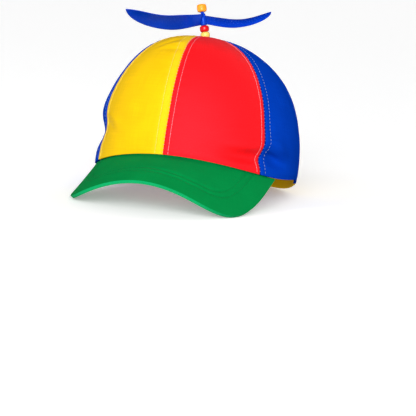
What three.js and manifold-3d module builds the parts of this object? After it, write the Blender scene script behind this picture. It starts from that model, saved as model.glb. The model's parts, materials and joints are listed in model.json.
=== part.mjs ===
// Propeller cap: six cloth panels, a stiff peak, and a plastic propeller that spins on a post.
// Millimetres. In the cap's own frame the front is -Y, the wearer's left is +X and up is +Z,
// with the origin at the middle of the crown's widest level. The finished cap rests on Z = 0.

import * as THREE from 'three';
import { mergeVertices } from 'three/addons/utils/BufferGeometryUtils.js';
import Module from 'manifold-3d';

const wasm = await Module();
wasm.setup();

const DEGREE = Math.PI / 180;
const GAP = 0.3;
const NORMAL_STEP = { angle: 1, up: 0.02 };

// The crown is an oval dome. Its side profile is a superellipse in height and radius.
const CROWN = {
  halfWidth: 86,
  halfDepth: 98,
  height: 108,
  heightPower: 2.45,
  radiusPower: 2.32,
  wall: 1.5,
  topShift: { x: -6.2, y: -4.6, power: 3 },
  postHole: 2.1,
  puff: 0.8,
  puffFade: 0.8,
  rows: 20,
  columns: 11,
  profileSamples: 400,
};

// The lower edge of the crown, by angle from the front: it dips to the peak's corners, sits
// a little higher on the wearer's left, and lies flat on the surface at the back.
const RIM = {
  frontLevel: -2.5,
  cornerLevel: -9.4,
  cornerAngle: 66,
  sideLevel: -4.6,
  sideAngle: 112,
  leftRise: 2.5,
  flatFrom: 158,
  flatBlend: 58,
};

// Seams by angle from the front at the rim, positive to the wearer's left, and how far each
// bows aside on its way up. The last is the first again, a full turn on.
const SEAM_BOW = { from: 0.35, to: 0.7 };
const SEAMS = [
  { angle: -49.5, bow: 6 },
  { angle: 0, bow: 0 },
  { angle: 53, bow: 1.2 },
  { angle: 116, bow: 0 },
  { angle: 180, bow: 0 },
  { angle: 244, bow: 0 },
  { angle: 310.5, bow: 6 },
];

// Panels run round the crown from one seam to the next, in the order of the seams.
const PANELS = [
  { name: 'panel_front_right', color: 0xf5d40a },
  { name: 'panel_front_left', color: 0xd91f26 },
  { name: 'panel_side_left', color: 0x1f3fae },
  { name: 'panel_rear_left', color: 0xf5d40a },
  { name: 'panel_rear_right', color: 0xd91f26 },
  { name: 'panel_side_right', color: 0x1f3fae },
];

// Dents and swells of the soft cloth: where they lie (angle from the front and height above
// the rim), how far they spread each way, and how far they stand out (+) or in (-).
const DENTS = [
  { angle: 50, rise: 12.5, angleSpread: 14, riseSpread: 4.6, out: -3.6 },
  { angle: 57, rise: 28, angleSpread: 16, riseSpread: 8, out: 1.3 },
  { angle: -72, rise: 27, angleSpread: 22, riseSpread: 8, out: -5.4 },
  { angle: -76, rise: 49, angleSpread: 20, riseSpread: 9, out: 1.2 },
  { angle: -70, rise: 90, angleSpread: 40, riseSpread: 16, out: -1.4 },
];

// The peak: its outer edge is a rounded arch seen from above, and it droops at both sides.
const PEAK = {
  front: -143,
  middleLevel: -31.1,
  tuck: 3,
  crowning: 1.0,
  fullCrowningWidth: 52,
  shoulderLimit: 0.5,
  thickness: 2.8,
  rows: 8,
  columns: 36,
  edgeSamples: 400,
  color: 0x0c7a3c,
};

// Each side of the peak: where its corner is, how square its outline is and how its edge hangs.
const PEAK_SIDES = {
  right: {
    halfWidth: 77.7,
    cornerY: -39,
    widthPower: 2.9,
    reachPower: 3.29,
    droop: -35.2,
    lobeDroop: -0.2,
    cornerRise: 0.78,
    cornerLevel: -12.2,
  },
  left: {
    halfWidth: 80,
    cornerY: -35,
    widthPower: 2.8,
    reachPower: 2.95,
    droop: -35.3,
    lobeDroop: -15.7,
    cornerRise: 1.07,
    cornerLevel: -8.2,
  },
};

// The post stands on the crown's top, leaning to the wearer's right and a little forward.
const POST = {
  leanRight: 14.6,
  leanFront: 3,
  rodRadius: 1.5,
  rodTop: 30.1,
  rodChamfer: 0.3,
  footRadius: 5,
  footThickness: 1.2,
  footDrop: 1,
  seatShare: 0.5,
  seatRadius: 6,
  seatBlend: 17,
  sides: 16,
  color: 0x1d3fb5,
};

// Beads threaded on the rod, by their height above the cloth.
const BEAD = { bore: 1.85, rounding: 1.9, arcSteps: 3, sides: 14 };
const BEADS = [
  { name: 'bead_yellow', bottom: 0.7, top: 5.9, radius: 4.1, color: 0xf2c818 },
  { name: 'bead_red', bottom: 6.1, top: 11.5, radius: 4.05, color: 0xc9201f },
  { name: 'bead_orange', bottom: 23.6, top: 30.4, radius: 4.2, color: 0xe8641b },
];

// The propeller's hub sleeve and its two blades, one moulding that turns on the rod.
const HUB = { bottom: 11.9, top: 22, bottomRadius: 2.75, topRadius: 2.4, bore: 1.85 };
const BLADE = {
  middle: 17.3,
  yaw: 59.8,
  rootChord: 10.3,
  fullChord: 15.7,
  fullAt: 0.43,
  tipPower: 7.4,
  rootPitch: 65.2,
  pitchChange: -57,
  sag: -11.7,
  tipLift: 20.1,
  sweep: -8.1,
  thickness: 1.5,
  edgeThickness: 0.6,
  tipAt: 0.985,
  stations: 20,
};
const BLADES = [
  { turn: 180, length: 80.5, bend: 1 },
  { turn: 0, length: 77.2, bend: 0.86 },
];
const PROPELLER_COLOR = 0x1a4fc4;

// How far the cap tips back when it stands on the peak's two lobes and the back of its rim.
const REST_PITCH = 11.7 * DEGREE;

function smoothstep(from, to, value) {
  return THREE.MathUtils.smoothstep(value, from, to);
}

function mix(from, to, share) {
  return from + (to - from) * share;
}

// An angle in degrees brought to -180 .. 180.
function signedAngle(angle) {
  return THREE.MathUtils.euclideanModulo(angle + 180, 360) - 180;
}

function angleFromFront(angle) {
  return Math.abs(signedAngle(angle));
}

function ovalRadius(angle) {
  const across = Math.sin(angle * DEGREE) / CROWN.halfWidth;
  const along = Math.cos(angle * DEGREE) / CROWN.halfDepth;
  return 1 / Math.hypot(across, along);
}

function dentAt(angle, rise) {
  let out = 0;
  for (const dent of DENTS) {
    const sideways = signedAngle(angle - dent.angle) / dent.angleSpread;
    const upward = (rise - dent.rise) / dent.riseSpread;
    out += dent.out * Math.exp(-0.5 * (sideways * sideways + upward * upward));
  }
  return out;
}

function frontRimLevel(angle) {
  const away = angleFromFront(angle);
  const dipped = mix(RIM.frontLevel, RIM.cornerLevel, smoothstep(0, RIM.cornerAngle, away));
  const level = mix(dipped, RIM.sideLevel, smoothstep(RIM.cornerAngle, RIM.sideAngle, away));
  return level + RIM.leftRise * Math.sin(angle * DEGREE);
}

// Level in the cap's frame of the resting surface below a point at depth y.
function surfaceLevel(y, floor) {
  return (floor + y * Math.sin(REST_PITCH)) / Math.cos(REST_PITCH);
}

function rimLevel(angle, y, floor) {
  const flat = smoothstep(RIM.flatFrom - RIM.flatBlend, RIM.flatFrom, angleFromFront(angle));
  return mix(frontRimLevel(angle), surfaceLevel(y, floor), flat);
}

// The post's frame: its foot on the crown's top, its lean as the Z axis, X towards the left.
const postFoot = new THREE.Vector3(CROWN.topShift.x, CROWN.topShift.y, CROWN.height);
const postAxis = new THREE.Vector3();
postAxis.x = -Math.sin(POST.leanRight * DEGREE);
postAxis.y = -Math.sin(POST.leanFront * DEGREE);
postAxis.z = Math.sqrt(1 - postAxis.lengthSq());
const postLeft = new THREE.Vector3(1, 0, 0).projectOnPlane(postAxis).normalize();
const postBack = new THREE.Vector3().crossVectors(postAxis, postLeft);

// The cloth round the post leans part of the way with it and eases back into the dome.
function seatPost(point) {
  const dx = point.x - postFoot.x;
  const dy = point.y - postFoot.y;
  const share = 1 - smoothstep(POST.seatRadius, POST.seatBlend, Math.hypot(dx, dy));
  const seatLevel = postFoot.z - (POST.seatShare * (postAxis.x * dx + postAxis.y * dy)) / postAxis.z;
  point.z = mix(point.z, seatLevel, share);
  return point;
}

// The dome's side profile by phase: 0 at its widest level, a quarter turn at the top.
function domeClimb(phase) {
  return Math.sin(phase) ** (2 / CROWN.heightPower);
}

function domeSpread(phase) {
  return Math.max(0, Math.cos(phase)) ** (2 / CROWN.radiusPower);
}

// Length along the profile up to each of a row of phases, for even spacing of the rows.
const profileLengths = [0];
for (let k = 1; k <= CROWN.profileSamples; k += 1) {
  const phase = (k / CROWN.profileSamples) * Math.PI / 2;
  const before = ((k - 1) / CROWN.profileSamples) * Math.PI / 2;
  const inward = CROWN.halfDepth * (domeSpread(before) - domeSpread(phase));
  const upward = CROWN.height * (domeClimb(phase) - domeClimb(before));
  profileLengths.push(profileLengths[k - 1] + Math.hypot(inward, upward));
}

function evenPhase(share, topPhase) {
  const topPlace = (topPhase / (Math.PI / 2)) * CROWN.profileSamples;
  const whole = Math.min(CROWN.profileSamples - 1, Math.floor(topPlace));
  const target = share * mix(profileLengths[whole], profileLengths[whole + 1], topPlace - whole);
  const k = Math.max(1, profileLengths.findIndex((length) => length >= target));
  const part = (target - profileLengths[k - 1]) / (profileLengths[k] - profileLengths[k - 1]);
  return ((k - 1 + part) / CROWN.profileSamples) * Math.PI / 2;
}

// The first row of cloth above the rim reaches the dome's widest level.
const STRAIGHT_SHARE = 1 / CROWN.rows;

// A point on the crown's outer face: angle from the front, and share of the way up from the rim.
function crownPoint(angle, up, panelShare, floor) {
  const radius = ovalRadius(angle);
  const outward = new THREE.Vector3(Math.sin(angle * DEGREE), -Math.cos(angle * DEGREE), 0);
  const bottom = rimLevel(angle, outward.y * (radius + dentAt(angle, 0)), floor);
  const topPhase = Math.acos((CROWN.postHole / radius) ** (CROWN.radiusPower / 2));
  const phase = evenPhase(Math.max(0, (up - STRAIGHT_SHARE) / (1 - STRAIGHT_SHARE)), topPhase);
  const climb = domeClimb(phase);
  const spread = domeSpread(phase);
  const straight = Math.max(0, 1 - up / STRAIGHT_SHARE);
  const level = bottom * straight + CROWN.height * climb;
  const shift = climb ** CROWN.topShift.power;
  const point = outward.clone().multiplyScalar(spread * radius);
  point.x += CROWN.topShift.x * shift;
  point.y += CROWN.topShift.y * shift;
  point.z = level;
  const fade = 1 - smoothstep(CROWN.puffFade, 1, up);
  const swell = CROWN.puff * Math.sin(Math.PI * panelShare) * (1 - straight) * fade;
  const push = swell + dentAt(angle, level - bottom) * fade;
  point.addScaledVector(outward, push * Math.cos(phase));
  point.z += push * Math.sin(phase);
  return seatPost(point);
}

// The crown's outward direction at a point, the same on both sides of a seam.
function crownNormal(angle, up, floor) {
  const aside = crownPoint(angle + NORMAL_STEP.angle, up, 0, floor);
  aside.sub(crownPoint(angle - NORMAL_STEP.angle, up, 0, floor));
  const upward = crownPoint(angle, Math.min(1, up + NORMAL_STEP.up), 0, floor);
  upward.sub(crownPoint(angle, Math.max(0, up - NORMAL_STEP.up), 0, floor));
  return aside.cross(upward).normalize();
}

// Unit normals of a grid of points, from its neighbouring rows and columns.
function gridNormals(grid) {
  const lastRow = grid.length - 1;
  const lastColumn = grid[0].length - 1;
  return grid.map((row, j) => row.map((point, i) => {
    const left = row[Math.max(0, i - 1)];
    const right = row[Math.min(lastColumn, i + 1)];
    const below = grid[Math.max(0, j - 1)][i];
    const above = grid[Math.min(lastRow, j + 1)][i];
    const across = right.clone().sub(left);
    const along = above.clone().sub(below);
    return across.cross(along).normalize();
  }));
}

// A closed wall between an outer grid of points and an inner one of the same size.
function wallGeometry(outer, inner) {
  const rows = outer.length;
  const columns = outer[0].length;
  const positions = [...outer, ...inner].flat().flatMap((point) => point.toArray());
  const faces = [];
  const outerAt = (j, i) => j * columns + i;
  const innerAt = (j, i) => (rows + j) * columns + i;
  const quad = (a, b, c, d) => faces.push(a, b, c, a, c, d);
  for (let j = 0; j + 1 < rows; j += 1) {
    for (let i = 0; i + 1 < columns; i += 1) {
      quad(outerAt(j, i), outerAt(j, i + 1), outerAt(j + 1, i + 1), outerAt(j + 1, i));
      quad(innerAt(j, i), innerAt(j + 1, i), innerAt(j + 1, i + 1), innerAt(j, i + 1));
    }
  }
  for (let i = 0; i + 1 < columns; i += 1) {
    quad(outerAt(0, i + 1), outerAt(0, i), innerAt(0, i), innerAt(0, i + 1));
    const top = rows - 1;
    quad(outerAt(top, i), outerAt(top, i + 1), innerAt(top, i + 1), innerAt(top, i));
  }
  for (let j = 0; j + 1 < rows; j += 1) {
    quad(outerAt(j, 0), outerAt(j + 1, 0), innerAt(j + 1, 0), innerAt(j, 0));
    const end = columns - 1;
    quad(outerAt(j + 1, end), outerAt(j, end), innerAt(j, end), innerAt(j + 1, end));
  }
  const geometry = new THREE.BufferGeometry();
  geometry.setAttribute('position', new THREE.Float32BufferAttribute(positions, 3));
  geometry.setIndex(faces);
  return geometry;
}

function offsetGrid(grid, distance) {
  const normals = gridNormals(grid);
  return grid.map((row, j) => row.map((point, i) => point.clone().addScaledVector(normals[j][i], -distance)));
}

function seamAngle(seam, up) {
  return seam.angle + seam.bow * smoothstep(SEAM_BOW.from, SEAM_BOW.to, up);
}

// One cloth panel between two seams, half a gap back from each.
function panelGeometry(firstSeam, lastSeam, floor) {
  const outer = [];
  const inner = [];
  for (let j = 0; j <= CROWN.rows; j += 1) {
    const up = j / CROWN.rows;
    outer.push([]);
    inner.push([]);
    for (let i = 0; i <= CROWN.columns; i += 1) {
      const share = i / CROWN.columns;
      const angle = mix(seamAngle(firstSeam, up), seamAngle(lastSeam, up), share);
      const skin = crownPoint(angle, up, share, floor);
      const inset = (i === 0 ? GAP / 2 : 0) - (i === CROWN.columns ? GAP / 2 : 0);
      skin.x += inset * Math.cos(angle * DEGREE);
      skin.y += inset * Math.sin(angle * DEGREE);
      const lining = skin.clone().addScaledVector(crownNormal(angle, up, floor), -CROWN.wall);
      if (j === 0) {
        skin.z = rimLevel(angle, skin.y, floor);
        lining.z = rimLevel(angle, lining.y, floor);
      }
      outer[j].push(skin);
      inner[j].push(lining);
    }
  }
  return wallGeometry(outer, inner);
}

// The peak's outer edge, from the wearer's right corner (-1) to the left corner (1).
function peakEdge(along) {
  const side = along < 0 ? PEAK_SIDES.right : PEAK_SIDES.left;
  const turn = Math.abs(along) * Math.PI / 2;
  const aside = Math.sin(turn) ** (2 / side.widthPower);
  const ahead = Math.max(0, Math.cos(turn)) ** (2 / side.reachPower);
  const drooped = PEAK.middleLevel + side.droop * aside ** 2 + side.lobeDroop * aside ** 4;
  const level = mix(side.cornerLevel, drooped, ahead ** side.cornerRise) + PEAK.thickness * ahead;
  const across = Math.sign(along) * side.halfWidth * aside;
  return new THREE.Vector3(across, mix(side.cornerY, PEAK.front, ahead), level);
}

// The same edge as evenly spaced points.
function evenPeakEdge() {
  const points = [];
  for (let k = 0; k <= PEAK.edgeSamples; k += 1) {
    points.push(peakEdge(mix(-1, 1, k / PEAK.edgeSamples)));
  }
  const reached = [0];
  for (let k = 1; k < points.length; k += 1) {
    reached.push(reached[k - 1] + points[k].distanceTo(points[k - 1]));
  }
  const even = [];
  let k = 1;
  for (let i = 0; i <= PEAK.columns; i += 1) {
    const target = (reached[points.length - 1] * i) / PEAK.columns;
    while (k < points.length - 1 && reached[k] < target) {
      k += 1;
    }
    const share = (target - reached[k - 1]) / (reached[k] - reached[k - 1]);
    even.push(points[k - 1].clone().lerp(points[k], share));
  }
  return even;
}

// The peak hangs from under the rim: a short tuck below the cloth, then a gently crowned sweep.
function peakGrids() {
  const edge = evenPeakEdge();
  const angleOf = (point) => Math.atan2(point.x, -point.y) / DEGREE;
  const firstAngle = angleOf(edge[0]);
  const lastAngle = angleOf(edge[PEAK.columns]);
  const top = [];
  for (let j = 0; j <= PEAK.rows; j += 1) {
    top.push(edge.map((rimward, i) => {
      const angle = mix(firstAngle, lastAngle, i / PEAK.columns);
      const radius = ovalRadius(angle) + dentAt(angle, 0) - PEAK.tuck;
      const level = frontRimLevel(angle) - GAP;
      const inner = new THREE.Vector3(Math.sin(angle * DEGREE), -Math.cos(angle * DEGREE), 0);
      inner.multiplyScalar(radius).setZ(level);
      const width = inner.distanceTo(rimward);
      const shoulder = Math.min(PEAK.tuck / width, PEAK.shoulderLimit);
      const share = j === 0 ? 0 : mix(shoulder, 1, (j - 1) / (PEAK.rows - 1));
      const point = inner.clone().lerp(rimward, share);
      const drop = Math.max(0, (share - shoulder) / (1 - shoulder));
      const crowning = PEAK.crowning * Math.min(1, width / PEAK.fullCrowningWidth);
      point.z = mix(level, rimward.z, drop) + crowning * Math.sin(Math.PI * drop);
      return point;
    }));
  }
  top.forEach((row) => row.reverse());
  return { top, under: offsetGrid(top, PEAK.thickness) };
}

// Height in the resting pose of a point of the cap's frame.
function restingHeight(point) {
  return point.z * Math.cos(REST_PITCH) - point.y * Math.sin(REST_PITCH);
}

// A solid of revolution about Z from a profile of [radius, height] rows.
function turned(profile, sides) {
  const points = profile.map(([radius, height]) => new THREE.Vector2(radius, height));
  return new THREE.LatheGeometry(points, sides).rotateX(Math.PI / 2);
}

function postGeometry() {
  const footTop = -CROWN.wall - POST.footDrop;
  const footBottom = footTop - POST.footThickness;
  return turned([
    [0, footBottom],
    [POST.footRadius, footBottom],
    [POST.footRadius, footTop],
    [POST.rodRadius, footTop],
    [POST.rodRadius, POST.rodTop - POST.rodChamfer],
    [POST.rodRadius - POST.rodChamfer, POST.rodTop],
    [0, POST.rodTop],
  ], POST.sides);
}

// A barrel bead with rounded shoulders and a hole for the rod.
function beadGeometry(bead) {
  const profile = [[BEAD.bore, bead.bottom]];
  const middle = bead.radius - BEAD.rounding;
  for (let k = 0; k <= BEAD.arcSteps; k += 1) {
    const turn = (k / BEAD.arcSteps) * Math.PI / 2;
    const low = bead.bottom + BEAD.rounding * (1 - Math.cos(turn));
    profile.push([middle + BEAD.rounding * Math.sin(turn), low]);
  }
  for (let k = BEAD.arcSteps; k >= 0; k -= 1) {
    const turn = (k / BEAD.arcSteps) * Math.PI / 2;
    const high = bead.top - BEAD.rounding * (1 - Math.cos(turn));
    profile.push([middle + BEAD.rounding * Math.sin(turn), high]);
  }
  profile.push([BEAD.bore, bead.top]);
  profile.push([BEAD.bore, bead.bottom]);
  return turned(profile, BEAD.sides);
}

// Rings of points joined end to end, closed by a fan at each end.
function loftGeometry(rings) {
  const count = rings[0].length;
  const positions = rings.flat().flatMap((point) => point.toArray());
  const faces = [];
  for (let j = 0; j + 1 < rings.length; j += 1) {
    for (let i = 0; i < count; i += 1) {
      const a = j * count + i;
      const b = j * count + (i + 1) % count;
      faces.push(a, b, b + count, a, b + count, a + count);
    }
  }
  const last = (rings.length - 1) * count;
  for (let i = 1; i + 1 < count; i += 1) {
    faces.push(0, i + 1, i);
    faces.push(last, last + i, last + i + 1);
  }
  const geometry = new THREE.BufferGeometry();
  geometry.setAttribute('position', new THREE.Float32BufferAttribute(positions, 3));
  geometry.setIndex(faces);
  return geometry;
}

// Points round a blade's section, as shares of the half chord and of the half thickness.
const BLADE_SECTION = [
  { chord: -1, skin: 1, edge: true },
  { chord: -0.5, skin: 1, edge: false },
  { chord: 0, skin: 1, edge: false },
  { chord: 0.5, skin: 1, edge: false },
  { chord: 1, skin: 1, edge: true },
  { chord: 1, skin: -1, edge: true },
  { chord: 0.5, skin: -1, edge: false },
  { chord: 0, skin: -1, edge: false },
  { chord: -0.5, skin: -1, edge: false },
  { chord: -1, skin: -1, edge: true },
];

// A blade along +X: steep at the hub and flatter at the tip, sagging and then lifting outwards.
function bladeGeometry(blade) {
  const rings = [];
  for (let k = 0; k <= BLADE.stations; k += 1) {
    const out = (BLADE.tipAt * k) / BLADE.stations;
    const widening = smoothstep(0, BLADE.fullAt, out);
    const taper = Math.max(0, (out - BLADE.fullAt) / (1 - BLADE.fullAt)) ** BLADE.tipPower;
    const halfChord = (mix(BLADE.rootChord, BLADE.fullChord, widening) * (1 - taper)) / 2;
    const pitch = (BLADE.rootPitch + BLADE.pitchChange * out) * DEGREE;
    const level = BLADE.middle + (BLADE.sag * out + BLADE.tipLift * out ** 3) * blade.bend;
    rings.push(BLADE_SECTION.map(({ chord, skin, edge }) => {
      const half = ((edge ? BLADE.edgeThickness : BLADE.thickness) / 2) * skin;
      return new THREE.Vector3(
        blade.length * out,
        BLADE.sweep * out ** 2 + halfChord * chord * Math.cos(pitch) - half * Math.sin(pitch),
        level + halfChord * chord * Math.sin(pitch) + half * Math.cos(pitch),
      );
    }));
  }
  return loftGeometry(rings.map((ring) => ring.reverse())).rotateZ(blade.turn * DEGREE);
}

function solidOf(geometry) {
  const bare = geometry.clone();
  bare.deleteAttribute('normal');
  bare.deleteAttribute('uv');
  const merged = mergeVertices(bare);
  const vertProperties = new Float32Array(merged.attributes.position.array);
  const triVerts = new Uint32Array(merged.index.array);
  return new wasm.Manifold(new wasm.Mesh({ numProp: 3, vertProperties, triVerts }));
}

function geometryOf(solid) {
  const mesh = solid.getMesh();
  const geometry = new THREE.BufferGeometry();
  geometry.setAttribute('position', new THREE.Float32BufferAttribute(mesh.vertProperties, 3));
  geometry.setIndex(Array.from(mesh.triVerts));
  return geometry;
}

function propellerGeometry() {
  const sleeve = turned([
    [0, HUB.bottom],
    [HUB.bottomRadius, HUB.bottom],
    [HUB.topRadius, HUB.top],
    [0, HUB.top],
  ], POST.sides);
  const height = HUB.top - HUB.bottom;
  const drill = new THREE.CylinderGeometry(HUB.bore, HUB.bore, 2 * height, POST.sides).rotateX(Math.PI / 2);
  drill.translate(0, 0, HUB.bottom + height / 2);
  let solid = solidOf(sleeve);
  for (const blade of BLADES) {
    solid = solid.add(solidOf(bladeGeometry(blade)));
  }
  return geometryOf(solid.subtract(solidOf(drill)));
}

function piece(name, geometry, color, roughness) {
  geometry.computeVertexNormals();
  const material = new THREE.MeshStandardMaterial({ color, roughness, metalness: 0 });
  const mesh = new THREE.Mesh(geometry, material);
  mesh.name = name;
  return mesh;
}

const CLOTH_ROUGHNESS = 0.85;
const PLASTIC_ROUGHNESS = 0.25;

const peakGrid = peakGrids();
const floor = Math.min(...peakGrid.under.flat().map(restingHeight));

const cap = new THREE.Group();
PANELS.forEach((panel, k) => {
  const geometry = panelGeometry(SEAMS[k], SEAMS[k + 1], floor);
  cap.add(piece(panel.name, geometry, panel.color, CLOTH_ROUGHNESS));
});
cap.add(piece('peak', wallGeometry(peakGrid.top, peakGrid.under), PEAK.color, CLOTH_ROUGHNESS));

const spindle = new THREE.Group();
spindle.position.copy(postFoot);
spindle.quaternion.setFromRotationMatrix(new THREE.Matrix4().makeBasis(postLeft, postBack, postAxis));
spindle.add(piece('post', postGeometry(), POST.color, PLASTIC_ROUGHNESS));
for (const bead of BEADS) {
  spindle.add(piece(bead.name, beadGeometry(bead), bead.color, PLASTIC_ROUGHNESS));
}
const propeller = piece('propeller', propellerGeometry(), PROPELLER_COLOR, PLASTIC_ROUGHNESS);
propeller.rotation.z = BLADE.yaw * DEGREE;
spindle.add(propeller);
cap.add(spindle);

// Tip the cap to its resting pose and set the middle of its footprint at the origin.
cap.rotation.x = -REST_PITCH;
const propellerCap = new THREE.Group();
propellerCap.add(cap);
propellerCap.updateMatrixWorld(true);
const box = new THREE.Box3().setFromObject(propellerCap, true);
const middle = box.getCenter(new THREE.Vector3());
cap.position.set(-middle.x, -middle.y, -box.min.z);
propellerCap.updateMatrixWorld(true);

export default propellerCap;
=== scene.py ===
import json
import math
from bisect import bisect_left

import bmesh
import bpy
from mathutils import Matrix, Vector, noise


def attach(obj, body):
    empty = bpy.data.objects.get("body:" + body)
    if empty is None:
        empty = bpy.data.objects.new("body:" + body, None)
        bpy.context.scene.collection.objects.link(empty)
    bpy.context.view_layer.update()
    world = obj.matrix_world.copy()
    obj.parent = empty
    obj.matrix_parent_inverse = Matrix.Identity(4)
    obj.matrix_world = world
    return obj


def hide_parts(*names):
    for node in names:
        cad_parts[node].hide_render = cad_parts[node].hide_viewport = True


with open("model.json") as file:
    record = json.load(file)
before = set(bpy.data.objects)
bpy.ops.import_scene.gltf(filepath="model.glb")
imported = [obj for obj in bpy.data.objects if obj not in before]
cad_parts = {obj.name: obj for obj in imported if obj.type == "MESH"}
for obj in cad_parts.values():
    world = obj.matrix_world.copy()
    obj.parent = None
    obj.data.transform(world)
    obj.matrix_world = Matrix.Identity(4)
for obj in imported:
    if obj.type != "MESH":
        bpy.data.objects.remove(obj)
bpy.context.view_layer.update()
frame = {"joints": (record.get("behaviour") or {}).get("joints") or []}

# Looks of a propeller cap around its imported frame: six sewn cloth panels, a stitched peak,
# and a glossy propeller on a rod threaded with beads.
# Sizes are millimetres in the cap's own frame: the front is -Y, the wearer's left is +X, up is +Z,
# and the origin is the middle of the crown's widest level. Angles are degrees from the front,
# positive to the wearer's left. Meshes are turned into the row frame, in metres, when they are finished.

MM = 0.001
TINY = 1e-9

CROWN = {
    "half_width": 86, "half_depth": 98, "height": 108, "height_power": 2.45, "radius_power": 2.32,
    "wall": 1.5, "shift_x": -6.2, "shift_y": -4.6, "shift_power": 3, "post_hole": 2.1,
    "puff": 0.8, "puff_fade": 0.8, "straight": 1 / 20, "samples": 400,
    "edge_rounding": 0.35, "edge_segments": 2,
}
RIM = {
    "front_level": -2.5, "corner_level": -9.4, "corner_angle": 66, "side_level": -4.6, "side_angle": 112,
    "left_rise": 2.5, "flat_from": 158, "flat_blend": 58,
}
REST_PITCH = math.radians(11.7)

# Seams, by angle from the front at the rim, and how far each bows aside on its way up. The first one
# closes the crown a full turn on.
SEAM_BOW = {"start": 0.35, "end": 0.7}
SEAMS = [
    {"angle": -49.5, "bow": 6},
    {"angle": 0, "bow": 0},
    {"angle": 53, "bow": 1.2},
    {"angle": 116, "bow": 0},
    {"angle": 180, "bow": 0},
    {"angle": 244, "bow": 0},
]
SEAMS.append({"angle": SEAMS[0]["angle"] + 360, "bow": SEAMS[0]["bow"]})

# Panels run from one seam to the next. Each has its cloth, and its own stitch line, by the
# distance from the seam.
PANELS = [
    {"node": "panel_front_right", "seams": SEAMS[0:2], "cloth": "yellow", "stitch": 6.6},
    {"node": "panel_front_left", "seams": SEAMS[1:3], "cloth": "red", "stitch": 4.4},
    {"node": "panel_side_left", "seams": SEAMS[2:4], "cloth": "blue", "stitch": 5.6},
    {"node": "panel_rear_left", "seams": SEAMS[3:5], "cloth": "yellow", "stitch": 6.6},
    {"node": "panel_rear_right", "seams": SEAMS[4:6], "cloth": "red", "stitch": 4.4},
    {"node": "panel_side_right", "seams": SEAMS[5:7], "cloth": "blue", "stitch": 5.6},
]

# Broad dents and swells of the soft crown, which the frame has too.
DENTS = [
    {"angle": 50, "rise": 12.5, "angle_spread": 14, "rise_spread": 4.6, "out": -3.6},
    {"angle": 57, "rise": 28, "angle_spread": 16, "rise_spread": 8, "out": 1.3},
    {"angle": -72, "rise": 27, "angle_spread": 22, "rise_spread": 8, "out": -5.4},
    {"angle": -76, "rise": 49, "angle_spread": 20, "rise_spread": 9, "out": 1.2},
    {"angle": -70, "rise": 90, "angle_spread": 40, "rise_spread": 16, "out": -1.4},
]

# Narrow creases in the cloth: where each lies (angle, and share of the way up), its tilt from level,
# its half length, its half width above and below its line, and how far it stands out or in.
CREASES = [
    {"angle": -18, "up": 0.69, "tilt": 55, "length": 12, "above": 3.2, "below": 3.2, "out": -1.3},
    {"angle": -13, "up": 0.655, "tilt": 35, "length": 11, "above": 3.0, "below": 3.0, "out": 0.8},
    {"angle": -7, "up": 0.62, "tilt": 8, "length": 9, "above": 1.8, "below": 2.6, "out": -1.0},
    {"angle": 41, "up": 0.08, "tilt": 2, "length": 18, "above": 3.3, "below": 5.0, "out": -2.9},
    {"angle": 41, "up": 0.13, "tilt": 4, "length": 20, "above": 6.0, "below": 3.3, "out": 1.8},
    {"angle": 34, "up": 0.2, "tilt": 14, "length": 18, "above": 3.2, "below": 3.2, "out": 0.5},
    {"angle": 64, "up": 0.1, "tilt": -15, "length": 14, "above": 3.0, "below": 5.5, "out": -4.4},
    {"angle": 65, "up": 0.15, "tilt": -17, "length": 14, "above": 6.0, "below": 3.0, "out": 2.9},
    {"angle": -38, "up": 0.155, "tilt": -22, "length": 14, "above": 2.4, "below": 4.0, "out": -1.1},
    {"angle": -36, "up": 0.195, "tilt": -20, "length": 13, "above": 3.0, "below": 2.6, "out": 1.0},
    {"angle": 150, "up": 0.2, "tilt": 6, "length": 22, "above": 2.2, "below": 4.0, "out": -1.0},
    {"angle": 205, "up": 0.26, "tilt": -9, "length": 20, "above": 2.2, "below": 4.0, "out": -0.9},
    {"angle": 262, "up": 0.3, "tilt": 10, "length": 16, "above": 2.4, "below": 3.6, "out": -0.8},
]

# The sewn edge of a panel, by distance from the seam: the cloth turns in at the seam, lies over its
# folded allowance up to the stitch line, and is pulled down along that line.
SEAM = {
    "clearance": 0.03, "full_width": 34, "least_scale": 0.01, "loose_from": 0.06,
    "fine_reach": 10, "fine_columns": 24, "middle_columns": 28,
    "rows": 132, "low_rows": 56, "low_reach": 0.26,
    "turn_in": 0.6, "turn_width": 0.8, "allowance": 0.32, "allowance_from": 0.5, "allowance_full": 1.8,
    "allowance_fall": 1.5, "groove": 0.26, "groove_width": 0.6,
    "pucker": 0.13, "pucker_length": 8.5, "pucker_reach": 5,
    "width_samples": 24,
}
PANEL_COLUMNS = 2 * SEAM["fine_columns"] + SEAM["middle_columns"]
SLACK = [{"size": 34, "out": 0.5}, {"size": 13, "out": 0.16}]

THREAD = {"radius": 0.2, "proud": 0.1, "rim_margin": 1.5, "top_margin": 0.955, "sides": 6, "rings": 5}
STITCHES = {
    "yellow": {"length": 2.9, "pitch": 2.6},
    "red": {"length": 2.9, "pitch": 2.6},
    "blue": {"length": 2.0, "pitch": 3.0},
    "green": {"length": 2.2, "pitch": 2.6},
}
# The thread that closes a seam shows as short stitches across its valley.
SEAM_THREAD = {"length": 1.3, "pitch": 3.1, "lift": 0.35}

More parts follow.
